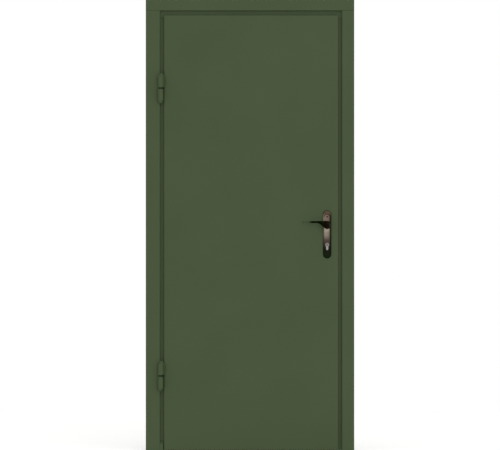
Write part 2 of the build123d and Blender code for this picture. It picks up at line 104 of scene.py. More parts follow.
powder_coat, tree, shader = new_finish("powder_coat_moss_green")
place = add_node(tree, "TexCoord").outputs["Object"]
clouds = add_node(
    tree,
    "TexNoise",
    {"Vector": place, "Scale": 1 / cloud_width, "Detail": 2.0, "Roughness": 0.4},
)
cloud_share = add_node(
    tree, "MapRange", {"Value": clouds.outputs["Fac"], "From Min": 0.35, "From Max": 0.75}
)
coat_colour = add_node(
    tree,
    "MixRGB",
    {
        "Fac": cloud_share.outputs["Result"],
        "Color1": linear(moss_green),
        "Color2": linear(moss_cloud),
    },
)
coat_sheen = add_node(
    tree,
    "MapRange",
    {
        "Value": clouds.outputs["Fac"],
        "To Min": coat_roughness_low,
        "To Max": coat_roughness_high,
    },
)
peel = add_node(
    tree, "TexNoise", {"Vector": place, "Scale": 1 / peel_pitch, "Detail": 1.0, "Roughness": 0.3}
)
dimples = add_node(
    tree, "Bump", {"Height": peel.outputs["Fac"], "Distance": peel_depth, "Strength": 0.6}
)
tree.links.new(coat_colour.outputs["Color"], shader.inputs["Base Color"])
tree.links.new(coat_sheen.outputs["Result"], shader.inputs["Roughness"])
tree.links.new(dimples.outputs["Normal"], shader.inputs["Normal"])
shader.inputs["IOR"].default_value = 1.5
shader.inputs["Specular IOR Level"].default_value = 0.22

dress(powder_coat, "frame_head", "frame_hinge_jamb", "frame_lock_jamb")


# Sill and groove closer
# The sill is a flat steel tube welded between the jambs. A small steel block with a sloped top
# closes the foot of the groove on the hinge side, flush with the casing. Both are coated with
# the frame.
dress(powder_coat, "threshold", "groove_foot_closer")


# Seals
# A domed rubber strip is glued all round the rebate, where the lip of the closed leaf covers it.
# EPDM, extruded: deep grey-black and matt, with a faint cloudy dusty bloom
rubber_black = "#161716"
rubber_dusty = "#2A2B29"
bloom_width = 0.02
grain_width = 0.0015
grain_depth = 0.00004

rubber, tree, shader = new_finish("epdm_rubber_extruded")
place = add_node(tree, "TexCoord").outputs["Object"]
bloom = add_node(tree, "TexNoise", {"Vector": place, "Scale": 1 / bloom_width, "Detail": 4.0})
rubber_colour = add_node(
    tree,
    "MixRGB",
    {
        "Fac": bloom.outputs["Fac"],
        "Color1": linear(rubber_black),
        "Color2": linear(rubber_dusty),
    },
)
grain = add_node(tree, "TexNoise", {"Vector": place, "Scale": 1 / grain_width, "Detail": 2.0})
skin = add_node(
    tree, "Bump", {"Height": grain.outputs["Fac"], "Distance": grain_depth, "Strength": 0.5}
)
tree.links.new(rubber_colour.outputs["Color"], shader.inputs["Base Color"])
tree.links.new(skin.outputs["Normal"], shader.inputs["Normal"])
shader.inputs["Roughness"].default_value = 0.72
shader.inputs["IOR"].default_value = 1.5
shader.inputs["Specular IOR Level"].default_value = 0.3

dress(rubber, "head_seal", "hinge_side_seal", "lock_side_seal", "threshold_seal")


# Hinges
# Each hinge is two drop-shaped barrels turned from bar, one welded to the casing and one to the
# leaf, on a steel pin with a bearing washer between them. The barrels are coated with the door
# after welding.
dress(
    powder_coat,
    "top_hinge_frame_knuckle",
    "top_hinge_leaf_knuckle",
    "bottom_hinge_frame_knuckle",
    "bottom_hinge_leaf_knuckle",
)

# Oiled steel bar: dark, smooth and half glossy, with fine turning rings
oiled_dark = "#1B2216"
oiled_pale = "#33392A"
ring_scale = 160.0
ring_depth = 0.00003
oil_scale = 120.0

oiled_steel, tree, shader = new_finish("oiled_steel_turned")
place = add_node(tree, "TexCoord").outputs["Object"]
rings = add_node(
    tree,
    "TexWave",
    {"Vector": place, "Scale": ring_scale, "Distortion": 0.4, "Detail": 1.0},
    bands_direction="Z",
)
oil = add_node(tree, "TexNoise", {"Vector": place, "Scale": oil_scale, "Detail": 3.0})
steel_colour = add_node(
    tree,
    "MixRGB",
    {"Fac": oil.outputs["Fac"], "Color1": linear(oiled_dark), "Color2": linear(oiled_pale)},
)
turned_rings = add_node(
    tree, "Bump", {"Height": rings.outputs["Fac"], "Distance": ring_depth, "Strength": 0.5}
)
tree.links.new(steel_colour.outputs["Color"], shader.inputs["Base Color"])
tree.links.new(turned_rings.outputs["Normal"], shader.inputs["Normal"])
shader.inputs["Metallic"].default_value = 1.0
shader.inputs["Roughness"].default_value = 0.38

dress(
    oiled_steel,
    "top_hinge_pin",
    "bottom_hinge_pin",
    "top_hinge_washer",
    "bottom_hinge_washer",
)

# Weld beads: a run of overlapping pools down both sides of each barrel's tail. Each bead thins at
# its ends, leans against the barrel and wavers a little, as a hand-laid one does.
pool_pitch = 0.0028
pool_rings = 4
pool_dip = 0.2
bead_width = 0.005
bead_height = 0.0022
bead_sink = 0.0006
bead_sides = 8
bead_waver = 0.05
bead_drift = 0.00015
bead_lean = 0.45
end_thickness = 0.35
end_taper = 6
bead_crease = math.radians(50)


def finish_mesh(name, shape, finish, body, crease):
    """Turns the shape into a piece that rides on its body. Edges past the crease stay sharp."""
    bmesh.ops.recalc_face_normals(shape, faces=shape.faces)
    mesh = bpy.data.meshes.new(name)
    shape.to_mesh(mesh)
    shape.free()
    mesh.polygons.foreach_set("use_smooth", [True] * len(mesh.polygons))
    mesh.set_sharp_from_angle(angle=crease)
    mesh.materials.append(finish)
    piece = bpy.data.objects.new(name, mesh)
    bpy.context.scene.collection.objects.link(piece)
    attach(piece, body)
    return piece


def weld_bead(name, start, end, lean, body):
    """A bead from start to end on the front of the sheet, tipped towards the barrel by lean."""
    chance = random.Random(name)
    length = (end - start).length
    along = (end - start).normalized()
    steps = int(length / pool_pitch * pool_rings)
    across = Vector((math.cos(lean), math.sin(lean), 0))
    out = across.cross(along) if across.cross(along).y < 0 else along.cross(across)
    shape = bmesh.new()
    rings = []
    for n in range(steps + 1):
        share = n / steps
        pool = 1 - pool_dip + pool_dip * abs(math.cos(math.pi * share * length / pool_pitch))
        ends = min(1.0, end_taper * share + end_thickness, end_taper * (1 - share) + end_thickness)
        size = pool * ends * chance.uniform(1 - bead_waver, 1 + bead_waver)
        middle = start.lerp(end, share) + across * chance.uniform(-bead_drift, bead_drift)
        ring = []
        for k in range(bead_sides + 1):
            turn = math.pi * k / bead_sides
            side = math.cos(turn) * bead_width / 2 * size
            rise = math.sin(turn) * bead_height * size - bead_sink
            ring.append(shape.verts.new(middle + across * side + out * rise))
        rings.append(ring)
    for one, two in zip(rings, rings[1:]):
        for k in range(bead_sides):
            shape.faces.new((one[k], one[k + 1], two[k + 1], two[k]))
        shape.faces.new((one[bead_sides], one[0], two[0], two[bead_sides]))
    shape.faces.new(rings[0])
    shape.faces.new(rings[-1])
    return finish_mesh(name, shape, powder_coat, body, bead_crease)


# Each bead stops short of the barrel's crowned end, and of the joint between the two barrels. Its
# place across is counted from the barrel's edge that lies over its own sheet.
front_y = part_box("frame_hinge_jamb")[0].y
crown_gap = 0.018
joint_gap = 0.006
frame_weld_outer = 0.0009
frame_weld_inner = 0.0086
leaf_weld_outer = 0.0016
leaf_weld_inner = 0.0056
for place_name in ("top", "bottom"):
    low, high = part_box(place_name + "_hinge_frame_knuckle")
    for side, x, lean in (
        ("outer", low.x + frame_weld_outer, bead_lean),
        ("inner", low.x + frame_weld_inner, -bead_lean),
    ):
        weld_bead(
            f"{place_name}_hinge_frame_weld_{side}",
            Vector((x, front_y, low.z + crown_gap)),
            Vector((x, front_y, high.z - joint_gap)),
            lean,
            "frame",
        )
    low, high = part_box(place_name + "_hinge_leaf_knuckle")
    for side, x, lean in (
        ("outer", high.x + leaf_weld_outer, -bead_lean),
        ("inner", high.x - leaf_weld_inner, bead_lean),
    ):
        weld_bead(
            f"{place_name}_hinge_leaf_weld_{side}",
            Vector((x, front_y, low.z + joint_gap)),
            Vector((x, front_y, high.z - crown_gap)),
            lean,
            "leaf",
        )


# Leaf
# A flush leaf: the outer sheet is folded round its edge into a flat lip, and an inner tray is
# welded behind it, over two stiffeners and mineral wool. Both sheets are coated.
dress(powder_coat, "leaf_outer_sheet", "leaf_inner_tray")

# Galvanised sheet: cool pale grey with the crystal spangle of hot-dip zinc
crystal_dark = "#8E9496"
crystal_pale = "#B4B9BA"
spangle_width = 0.009
zinc_roughness_low, zinc_roughness_high = 0.3, 0.5

galvanised, tree, shader = new_finish("galvanised_steel_sheet")
place = add_node(tree, "TexCoord").outputs["Object"]
spangle = add_node(tree, "TexVoronoi", {"Vector": place, "Scale": 1 / spangle_width})
crystal = add_node(tree, "SeparateColor", {"Color": spangle.outputs["Color"]})
zinc_colour = add_node(
    tree,
    "MixRGB",
    {
        "Fac": crystal.outputs["Red"],
        "Color1": linear(crystal_dark),
        "Color2": linear(crystal_pale),
    },
)
zinc_gloss = add_node(
    tree,
    "MapRange",
    {
        "Value": crystal.outputs["Green"],
        "To Min": zinc_roughness_low,
        "To Max": zinc_roughness_high,
    },
)
tree.links.new(zinc_colour.outputs["Color"], shader.inputs["Base Color"])
tree.links.new(zinc_gloss.outputs["Result"], shader.inputs["Roughness"])
shader.inputs["Metallic"].default_value = 1.0

dress(galvanised, "leaf_ribs", "lock_case")

# Mineral wool slab: matt ochre, with long crossing fibres
wool_dark = "#8A7A45"
wool_pale = "#C6B57C"
fibre_width = 0.0012
fibre_stretch = (1.0, 1.0, 0.12)
tuft_depth = 0.001

wool, tree, shader = new_finish("mineral_wool_slab")
place = add_node(tree, "TexCoord").outputs["Object"]
stretched = add_node(tree, "Mapping", {"Vector": place, "Scale": fibre_stretch})
fibres = add_node(
    tree,
    "TexNoise",
    {"Vector": stretched.outputs["Vector"], "Scale": 1 / fibre_width, "Detail": 5.0},
)
wool_colour = add_node(
    tree,
    "MixRGB",
    {"Fac": fibres.outputs["Fac"], "Color1": linear(wool_dark), "Color2": linear(wool_pale)},
)
tufts = add_node(
    tree, "Bump", {"Height": fibres.outputs["Fac"], "Distance": tuft_depth, "Strength": 0.8}
)
tree.links.new(wool_colour.outputs["Color"], shader.inputs["Base Color"])
tree.links.new(tufts.outputs["Normal"], shader.inputs["Normal"])
shader.inputs["Roughness"].default_value = 0.95
shader.inputs["Specular IOR Level"].default_value = 0.15

dress(wool, "leaf_filling")


# Lock
# A mortise lock stands in the leaf's edge behind a nickelled faceplate, with its latch and bolt
# drawn in. A zinc-plated strike plate faces it on the jamb. Countersunk cross-head screws hold
# both plates, and a third one the cylinder.
gloss_spread = 0.08
scratch_depth = 0.00003


def metal_finish(name, dark, pale, brush, gloss, line_width):
    """A metal brushed one way: brush is the stretch of its lines along X, Y and Z."""
    finish, tree, shader = new_finish(name)
    place = add_node(tree, "TexCoord").outputs["Object"]
    stretched = add_node(tree, "Mapping", {"Vector": place, "Scale": brush})
    lines = add_node(
        tree,
        "TexNoise",
        {"Vector": stretched.outputs["Vector"], "Scale": 1 / line_width, "Detail": 4.0},
    )
    colour = add_node(
        tree,
        "MixRGB",
        {"Fac": lines.outputs["Fac"], "Color1": linear(dark), "Color2": linear(pale)},
    )
    roughness = add_node(
        tree,
        "MapRange",
        {
            "Value": lines.outputs["Fac"],
            "To Min": gloss - gloss_spread,
            "To Max": gloss + gloss_spread,
        },
    )
    scratches = add_node(
        tree, "Bump", {"Height": lines.outputs["Fac"], "Distance": scratch_depth, "Strength": 0.4}
    )
    tree.links.new(colour.outputs["Color"], shader.inputs["Base Color"])
    tree.links.new(roughness.outputs["Result"], shader.inputs["Roughness"])
    tree.links.new(scratches.outputs["Normal"], shader.inputs["Normal"])
    shader.inputs["Metallic"].default_value = 1.0
    return finish


# Zinc-plated steel, passivated: silvery with a faint cool cast and soft cloudy streaks
zinc_plate = metal_finish(
    "zinc_plated_steel",
    dark="#9DA3A4",
    pale="#C2C6C4",
    brush=(1.0, 1.0, 0.3),
    gloss=0.36,
    line_width=0.004,
)
# Nickel on brass, brushed along the plate: warm pale grey with upright hairlines
brushed_nickel = metal_finish(
    "brushed_nickel",
    dark="#A49E92",
    pale="#CBC5B9",
    brush=(1.0, 1.0, 0.04),
    gloss=0.32,
    line_width=0.0008,
)
# Nickel on brass, satin: darker and greyer than the plate, evenly matt
satin_nickel = metal_finish(
    "satin_nickel",
    dark="#786F6C",
    pale="#969090",
    brush=(1.0, 1.0, 1.0),
    gloss=0.36,
    line_width=0.002,
)
# Satin nickel worn by keys: a darker grey than the cylinder's body round it
worn_nickel = metal_finish(
    "worn_nickel",
    dark="#5C5452",
    pale="#746E6C",
    brush=(1.0, 1.0, 1.0),
    gloss=0.4,
    line_width=0.0015,
)

dress(zinc_plate, "strike_plate")
dress(brushed_nickel, "lock_faceplate", "latch_bolt", "dead_bolt")
dress(satin_nickel, "lock_cylinder")


def turned(profile, segments):
    """A round shape about Z from (radius, height) pairs, the first and last at the centre."""
    shape = bmesh.new()
    rows = []
    for radius, height in profile:
        if radius == 0:
            rows.append([shape.verts.new((0, 0, height))] * segments)
            continue
        row = []
        for n in range(segments):
            turn = 2 * math.pi * n / segments
            row.append(shape.verts.new((radius * math.cos(turn), radius * math.sin(turn), height)))
        rows.append(row)
    for one, two in zip(rows, rows[1:]):
        for n in range(segments):
            m = (n + 1) % segments
            corners = [one[n], one[m], two[m], two[n]]
            shape.faces.new(list(dict.fromkeys(corners)))
    return shape


def stand(shape, origin, facing, roll=0.0):
    """Turns a shape from Z to the way it faces and moves it to its place."""
    turn = facing.to_track_quat("Z", "Y").to_matrix().to_4x4() @ Matrix.Rotation(roll, 4, "Z")
    bmesh.ops.transform(shape, matrix=Matrix.Translation(origin) @ turn, verts=shape.verts)
    return shape


def carve(piece, cutter_shape):
    """Cuts a shape out of the piece."""
    cutter_mesh = bpy.data.meshes.new("cutter")
    cutter_shape.to_mesh(cutter_mesh)
    cutter_shape.free()
    cutter = bpy.data.objects.new("cutter", cutter_mesh)
    bpy.context.scene.collection.objects.link(cutter)
    cut = piece.modifiers.new("cut", "BOOLEAN")
    cut.object = cutter
    cut.solver = "EXACT"
    depsgraph = bpy.context.evaluated_depsgraph_get()
    carved = bpy.data.meshes.new_from_object(piece.evaluated_get(depsgraph))
    piece.modifiers.clear()
    piece.data = carved
    bpy.data.objects.remove(cutter)


def block(size):
    """A box about the centre."""
    shape = bmesh.new()
    bmesh.ops.create_cube(shape, size=1.0, matrix=Matrix.Diagonal((*size, 1.0)))
    return shape


# The screws' heads, and the places of those in the leaf's edge and on the jamb
screw_sink = 0.0004
screw_edge = 0.0003
screw_dome = 0.0009
dome_steps = 6
screw_segments = 40
slot_share = 0.6
slot_width = 0.0011
slot_depth = 0.0016
crisp_edge = math.radians(40)
plate_screw_width = 0.0075
fixing_screw_width = 0.0065
screw_inset = 0.012
fixing_screw_rise = 0.006


def cross_screw(name, origin, facing, diameter, finish, body, roll):
    """The head of a countersunk cross-head screw, a little domed, with its recess."""
    radius = diameter / 2
    dome = [(radius, -screw_sink), (radius, screw_edge)]
    for n in range(1, dome_steps):
        turn = math.pi / 2 * n / dome_steps
        dome.append((radius * math.cos(turn), screw_edge + screw_dome * math.sin(turn)))
    profile = [(0, -screw_sink)] + dome + [(0, screw_edge + screw_dome)]
    head = stand(turned(profile, screw_segments), origin, facing, roll)
    piece = finish_mesh(name, head, finish, body, crisp_edge)
    for turn in (0, math.pi / 2):
        slot = block((diameter * slot_share, slot_width, slot_depth))
        top = origin + facing * (screw_edge + screw_dome)
        carve(piece, stand(slot, top, facing, roll + turn))
    return piece


low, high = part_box("lock_faceplate")
for end, z in (("top", high.z - screw_inset), ("bottom", low.z + screw_inset)):
    cross_screw(
        f"faceplate_screw_{end}",
        Vector((high.x, (low.y + high.y) / 2, z)),
        Vector((1, 0, 0)),
        plate_screw_width,
        zinc_plate,
        "leaf",
        roll=0.4,
    )
cylinder_low, cylinder_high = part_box("lock_cylinder")
cylinder_radius = (cylinder_high.x - cylinder_low.x) / 2
cylinder_x = (cylinder_high.x + cylinder_low.x) / 2
cylinder_z = cylinder_high.z - cylinder_radius
cross_screw(
    "cylinder_fixing_screw",
    Vector((high.x, (low.y + high.y) / 2, cylinder_low.z + fixing_screw_rise)),
    Vector((1, 0, 0)),
    fixing_screw_width,
    zinc_plate,
    "leaf",
    roll=0.9,
)

low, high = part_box("strike_plate")
for end, z in (("top", high.z - screw_inset), ("bottom", low.z + screw_inset)):
    cross_screw(
        f"strike_screw_{end}",
        Vector((low.x, (low.y + high.y) / 2, z)),
        Vector((-1, 0, 0)),
        plate_screw_width,
        zinc_plate,
        "frame",
        roll=0.2,
    )

# Plugs: the turning core at each end of the cylinder, a shade proud of it, with its keyway
plug_radius = 0.0064
plug_sink = 0.0002
plug_rise = 0.0006
plug_round = 0.0002
plug_segments = 48
keyway_width = 0.0016
keyway_depth = 0.004
keyway_height = 0.008
for end, y, way in (("outside", cylinder_low.y, -1), ("inside", cylinder_high.y, 1)):
    profile = [
        (0, -plug_sink),
        (plug_radius, -plug_sink),
        (plug_radius, plug_rise - plug_round),
        (plug_radius - plug_round, plug_rise),
        (0, plug_rise),
    ]
    face = Vector((cylinder_x, y, cylinder_z))
    core = stand(turned(profile, plug_segments), face, Vector((0, way, 0)))
    plug = finish_mesh(f"{end}_cylinder_plug", core, worn_nickel, "leaf", crisp_edge)
    keyway = block((keyway_width, keyway_depth, keyway_height))
    bmesh.ops.translate(keyway, vec=face, verts=keyway.verts)
    carve(plug, keyway)

# Gaskets: a soft black ring closes the slot between the cylinder and each backplate, so that no
# light or draught passes; the ring is painted shade, standing for the dark inside the slot. It
# lies under the plate's face and bites a little into both sides of the slot.
body_radius = 0.0085
body_web = 0.01
foot_drop = 0.0195
loop_steps = 32
gasket_bite = 0.0003
gasket_reach = 0.0009
gasket_thickness = 0.0012
gasket_depth = 0.0024


def keyhole_loop(shape, grow, y):
    """The cylinder's outline grown by so much, as a loop of points at one depth."""
    radius = body_radius + grow
    half_web = body_web / 2 + grow
    neck = math.sqrt(radius**2 - half_web**2)
    start = math.atan2(-neck, half_web)
    points = []
    for n in range(loop_steps + 1):
        turn = start + (math.pi - 2 * start) * n / loop_steps
        points.append((math.cos(turn) * radius, math.sin(turn) * radius))
    for n in range(loop_steps + 1):
        turn = math.pi * (1 + n / loop_steps)
        points.append((math.cos(turn) * half_web, math.sin(turn) * half_web - foot_drop))
    return [shape.verts.new((cylinder_x + x, y, cylinder_z + z)) for x, z in points]


for end, y in (
    ("outside", cylinder_low.y + gasket_depth),
    ("inside", cylinder_high.y - gasket_depth - gasket_thickness),
):
    ring = bmesh.new()
    loops = [
        keyhole_loop(ring, grow, y + depth)
        for grow, depth in (
            (-gasket_bite, 0),
            (gasket_reach, 0),
            (gasket_reach, gasket_thickness),
            (-gasket_bite, gasket_thickness),
        )
    ]
    for one, two in zip(loops, loops[1:] + loops[:1]):
        for n in range(len(one)):
            m = (n + 1) % len(one)
            ring.faces.new((one[n], one[m], two[m], two[n]))
    finish_mesh(f"{end}_cylinder_shade_gasket", ring, rubber, "leaf", crisp_edge)


# Handle backplates
# Long die-cast plates, one on each face, with a rounded border, a raised field and a boss for the
# lever's neck. They are copper-plated, blackened and rubbed back by hand along the field, and
# held by two screws each.
plate_low, plate_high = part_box("outside_backplate")
plate_middle_x = (plate_low.x + plate_high.x) / 2
plate_middle_z = (plate_low.z + plate_high.z) / 2

# Antique copper: pinkish grey metal rubbed bare along the field, in a brown patina. Painted light
# makes the field palest just under the lever, where the hub's shadow falls, and painted shade
# darkens it to the right. The left border is olive with a painted highlight and the right one dark
# with painted shade; the cap is brown over a painted shadow arc, and the plate is darker towards
# the bottom, black round and below the cylinder, with painted shade down its right edge.
rubbed_upper = "#695A50"
rubbed_lower = "#766D62"
painted_light_under_lever = "#A79E90"
left_border_lit = "#5E594A"
left_border_lit_upper = "#80766A"
right_painted_shade = "#262218"
patina_cap = "#4A4033"
arc_painted_shadow = "#2F2018"
darker_low = "#40362F"
black_foot_and_right_shade = "#141A0F"
copper_tint = "#8A7A6A"
blotch_width = 0.012
blotch_depth = 0.0002
patina_waves = 0.003
copper_roughness_low, copper_roughness_high = 0.28, 0.46

# Heights above the floor between which one colour gives way to the next
black_ends, low_begins = 0.944, 0.976
low_ends, rubbed_begins = 0.978, 1.014
# Where the painted light under the lever, over the hub's shadow, is at its full
under_lever_light_full = 1.036
lower_ends, upper_begins = 1.03, 1.07

# The cap and the field's round top, down from the plate's top
cap_foot, cap_full = 0.028, 0.014
field_top_drop = 0.032

# Sideways from the field's middle line, which lies a little left of the plate's, so that the
# painted highlight lies to its left and the painted shade to its right
field_offset = 0.0012
field_reach = 0.0125
field_fade = 0.0027
# Between these the left border's painted highlight gives way to the right border's painted shade
left_border_from, right_border_from = -0.008, 0.01
# How far right the painted shade on the field grows, and its strongest share
right_shade_reach, right_shade_most = 0.014, 0.45
# Where the right edge of the plate's lower part turns black, a painted shade
right_edge_from, right_edge_full = 0.0115, 0.016

# The painted shadow arc outside the field, and where it starts beside the field's round top
arc_inside, arc_outside, arc_end = 0.002, 0.004, 0.0055
arc_foot, arc_full, arc_most = -0.004, 0.006, 0.95

antique_copper, tree, shader = new_finish("antique_copper_rubbed")
place = add_node(tree, "TexCoord").outputs["Object"]
axes = add_node(tree, "SeparateXYZ", {"Vector": place})
blotches = add_node(tree, "TexNoise", {"Vector": place, "Scale": 1 / blotch_width, "Detail": 5.0})
beside_middle = add_node(
    tree,
    "Math",
    {0: axes.outputs["X"], 1: plate_middle_x - field_offset},
    operation="SUBTRACT",
)
over_field = add_node(
    tree,
    "Math",
    {0: axes.outputs["Z"], 1: plate_high.z - field_top_drop},
    operation="SUBTRACT",
)
over_field_only = add_node(
    tree, "Math", {0: over_field.outputs["Value"], 1: 0.0}, operation="MAXIMUM"
)
from_middle = add_node(
    tree,
    "CombineXYZ",
    {"X": beside_middle.outputs["Value"], "Z": over_field_only.outputs["Value"]},
)
out_from_middle = add_node(
    tree, "VectorMath", {0: from_middle.outputs["Vector"]}, operation="LENGTH"
)
out_wavy = add_node(
    tree,
    "Math",
    {0: blotches.outputs["Fac"], 1: patina_waves, 2: out_from_middle.outputs["Value"]},
    operation="MULTIPLY_ADD",
)
height_wavy = add_node(
    tree,
    "Math",
    {0: blotches.outputs["Fac"], 1: 3 * patina_waves, 2: axes.outputs["Z"]},
    operation="MULTIPLY_ADD",
)

# The field: painted light just under the lever, where the hub's shadow falls, and painted shade
# towards the right
above_lever = add_node(
    tree,
    "MapRange",
    {
        "Value": height_wavy.outputs["Value"],
        "From Min": lower_ends,
        "From Max": upper_begins,
    },
    interpolation_type="SMOOTHSTEP",
)
# Painted light, palest just under the lever where the hub's shadow falls
under_lever = add_node(
    tree,
    "MapRange",
    {"Value": axes.outputs["Z"], "From Min": rubbed_begins, "From Max": under_lever_light_full},
)
rubbed = add_node(
    tree,
    "MixRGB",
    {
        "Fac": under_lever.outputs["Result"],
        "Color1": linear(rubbed_lower),
        "Color2": linear(painted_light_under_lever),
    },
)
bare_copper = add_node(
    tree,
    "MixRGB",
    {
        "Fac": above_lever.outputs["Result"],
        "Color1": rubbed.outputs["Color"],
        "Color2": linear(rubbed_upper),
    },
)
right_shade = add_node(
    tree,
    "MapRange",
    {
        "Value": beside_middle.outputs["Value"],
        "From Min": 0.0,
        "From Max": right_shade_reach,
        "To Max": right_shade_most,
    },
)
shaded_copper = add_node(
    tree,
    "MixRGB",
    {
        "Fac": right_shade.outputs["Result"],
        "Color1": bare_copper.outputs["Color"],
        "Color2": linear(right_painted_shade),
    },
)

# The border at both sides, with a painted highlight on the left and painted shade on the right,
# and the cap over it
to_right = add_node(
    tree,
    "MapRange",
    {
        "Value": beside_middle.outputs["Value"],
        "From Min": left_border_from,
        "From Max": right_border_from,
    },
    interpolation_type="SMOOTHSTEP",
)
left_border = add_node(
    tree,
    "MixRGB",
    {
        "Fac": above_lever.outputs["Result"],
        "Color1": linear(left_border_lit),
        "Color2": linear(left_border_lit_upper),
    },
)
side_border = add_node(
    tree,
    "MixRGB",
    {
        "Fac": to_right.outputs["Result"],
        "Color1": left_border.outputs["Color"],
        "Color2": linear(right_painted_shade),
    },
)
in_cap = add_node(
    tree,
    "MapRange",
    {
        "Value": axes.outputs["Z"],
        "From Min": plate_high.z - cap_foot,
        "From Max": plate_high.z - cap_full,
    },
    interpolation_type="SMOOTHSTEP",
)
border = add_node(
    tree,
    "MixRGB",
    {
        "Fac": in_cap.outputs["Result"],
        "Color1": side_border.outputs["Color"],
        "Color2": linear(patina_cap),
    },
)
in_border = add_node(
    tree,
    "MapRange",
    {
        "Value": out_wavy.outputs["Value"],
        "From Min": field_reach,
        "From Max": field_reach + field_fade,
    },
    interpolation_type="SMOOTHSTEP",
)
bordered = add_node(
    tree,
    "MixRGB",
    {
        "Fac": in_border.outputs["Result"],
        "Color1": shaded_copper.outputs["Color"],
        "Color2": border.outputs["Color"],
    },
)

# The painted shadow arc round the field's top
near_rim = add_node(
    tree,
    "MapRange",
    {
        "Value": out_wavy.outputs["Value"],
        "From Min": field_reach,
        "From Max": field_reach + arc_inside,
    },
    interpolation_type="SMOOTHSTEP",
)
past_rim = add_node(
    tree,
    "MapRange",
    {
        "Value": out_wavy.outputs["Value"],
        "From Min": field_reach + arc_outside,
        "From Max": field_reach + arc_end,
        "To Min": 1.0,
        "To Max": 0.0,
    },
    interpolation_type="SMOOTHSTEP",
)
above_sides = add_node(
    tree,
    "MapRange",
    {
        "Value": over_field.outputs["Value"],
        "From Min": arc_foot,
        "From Max": arc_full,
        "To Max": arc_most,
    },
)
rim_line = add_node(
    tree,
    "Math",
    {0: near_rim.outputs["Result"], 1: past_rim.outputs["Result"]},
    operation="MULTIPLY",
)
rim_over_top = add_node(
    tree,
    "Math",
    {0: rim_line.outputs["Value"], 1: above_sides.outputs["Result"]},
    operation="MULTIPLY",
)
rimmed = add_node(
    tree,
    "MixRGB",
    {
        "Fac": rim_over_top.outputs["Value"],
        "Color1": bordered.outputs["Color"],
        "Color2": linear(arc_painted_shadow),
    },
)

# The dark foot: darker towards the bottom, black round and below the cylinder, with painted shade
# along the right edge
beside_cylinder = add_node(
    tree,
    "MapRange",
    {"Value": height_wavy.outputs["Value"], "From Min": black_ends, "From Max": low_begins},
)
on_right_border = add_node(
    tree,
    "MapRange",
    {
        "Value": beside_middle.outputs["Value"],
        "From Min": right_edge_from,
        "From Max": right_edge_full,
    },
)
low_border = add_node(
    tree,
    "MixRGB",
    {
        "Fac": on_right_border.outputs["Result"],
        "Color1": linear(darker_low),
        "Color2": linear(black_foot_and_right_shade),
    },
)
darker_foot = add_node(
    tree,
    "MixRGB",
    {
        "Fac": beside_cylinder.outputs["Result"],
        "Color1": linear(black_foot_and_right_shade),
        "Color2": low_border.outputs["Color"],
    },
)
above_cylinder = add_node(
    tree,
    "MapRange",
    {"Value": height_wavy.outputs["Value"], "From Min": low_ends, "From Max": rubbed_begins},
    interpolation_type="SMOOTHSTEP",
)
blackened = add_node(
    tree,
    "MixRGB",
    {
        "Fac": above_cylinder.outputs["Result"],
        "Color1": darker_foot.outputs["Color"],
        "Color2": rimmed.outputs["Color"],
    },
)

copper_gloss = add_node(
    tree,
    "MapRange",
    {
        "Value": blotches.outputs["Fac"],
        "To Min": copper_roughness_low,
        "To Max": copper_roughness_high,
    },
)
cast_skin = add_node(
    tree, "Bump", {"Height": blotches.outputs["Fac"], "Distance": blotch_depth, "Strength": 0.3}
)
tree.links.new(blackened.outputs["Color"], shader.inputs["Base Color"])
tree.links.new(copper_gloss.outputs["Result"], shader.inputs["Roughness"])
tree.links.new(cast_skin.outputs["Normal"], shader.inputs["Normal"])
shader.inputs["Metallic"].default_value = 1.0
shader.inputs["Specular Tint"].default_value = linear(copper_tint)

dress(antique_copper, "outside_backplate", "inside_backplate")

# Blackened steel: near black with a brown cast and a low gloss
blackened_steel = metal_finish(
    "blackened_steel",
    dark="#0E0F0C",
    pale="#2A241D",
    brush=(1.0, 1.0, 1.0),
    gloss=0.4,
    line_width=0.002,
)

# The screws sit on the field, which lies a little behind the cylinder's ends
screw_reach = 0.082
cylinder_stands_out = 0.002
field_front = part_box("lock_cylinder")[0].y + cylinder_stands_out
field_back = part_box("lock_cylinder")[1].y - cylinder_stands_out
for side, y, way in (("outside", field_front, -1), ("inside", field_back, 1)):
    for end, rise in (("top", screw_reach), ("bottom", -screw_reach)):
        cross_screw(
            f"{side}_plate_screw_{end}",
            Vector((plate_middle_x, y, plate_middle_z + rise)),
            Vector((0, way, 0)),
            plate_screw_width,
            blackened_steel,
            "leaf",
            roll=0.5,
        )


# Levers
# Each lever is one casting: a neck that turns in the plate, a flared hub and a swept arm. They
# keep more of the black patina than the plates, with copper showing only where a hand rubs. A
# square steel spindle joins the two through the lock.
lever_low, lever_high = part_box("outside_lever")

# Dark patina over copper: near black with a waxed gloss, warm brown on the crests. The arm is
# greener than the hub. The arm's tip is worn to a dull olive bronze and carries a painted green
# reflection of the door, and the hub's rim carries a painted highlight.
crest_dark = "#100C06"
crest_warm = "#2E1F16"
arm_green = "#070F04"
hub_end_highlight = "#3E392E"
tip_worn_and_lit = "#515B41"
waxed_tint = "#3A332B"
wear_width = 0.018
wear_depth = 0.0002
waxed_roughness_low, waxed_roughness_high = 0.3, 0.45

# Distances in from the hub's rim, and the last pair in from the arm's tip
arm_from, arm_full = 0.03, 0.05
rim_from = 0.012
tip_from, tip_full = 0.05, 0.022

